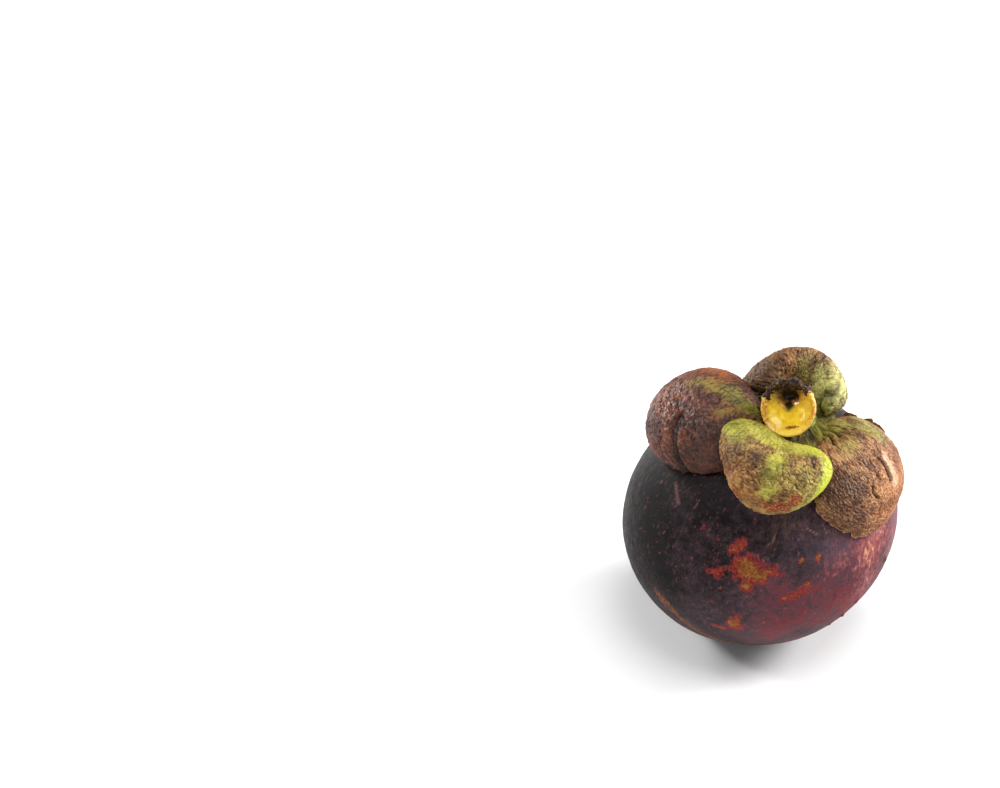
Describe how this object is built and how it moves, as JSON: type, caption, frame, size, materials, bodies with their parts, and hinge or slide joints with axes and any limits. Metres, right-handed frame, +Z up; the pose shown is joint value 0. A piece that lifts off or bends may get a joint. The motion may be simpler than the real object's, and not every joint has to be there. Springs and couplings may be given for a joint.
{
  "type": "mangosteen",
  "caption": "Whole purple mangosteen with its puffed green-brown calyx sepals and cut stem, standing on a small flat spot.",
  "frame": {"origin": "middle of the small flat spot that the fruit stands on", "axes": "+Z up, +X to the right and +Y to the back as the fruit is seen with its cut stem end leaning towards the front; the stem leans a little to +X"},
  "size_m": [0.0618, 0.0588, 0.0657],
  "materials": {
    "rind_skin": "satin",
    "sepal_outer_leaf": "satin",
    "sepal_inner_leaf": "satin",
    "stem_cut": "satin",
    "stigma_wood": "matte"
  },
  "bodies": {
    "root": {"rind": "rind_skin", "sepal_left": "sepal_outer_leaf", "sepal_right": "sepal_outer_leaf", "sepal_front": "sepal_inner_leaf", "sepal_back": "sepal_inner_leaf", "stem": "stem_cut", "stigma_rosette": "stigma_wood"}
  },
  "joints": []
}
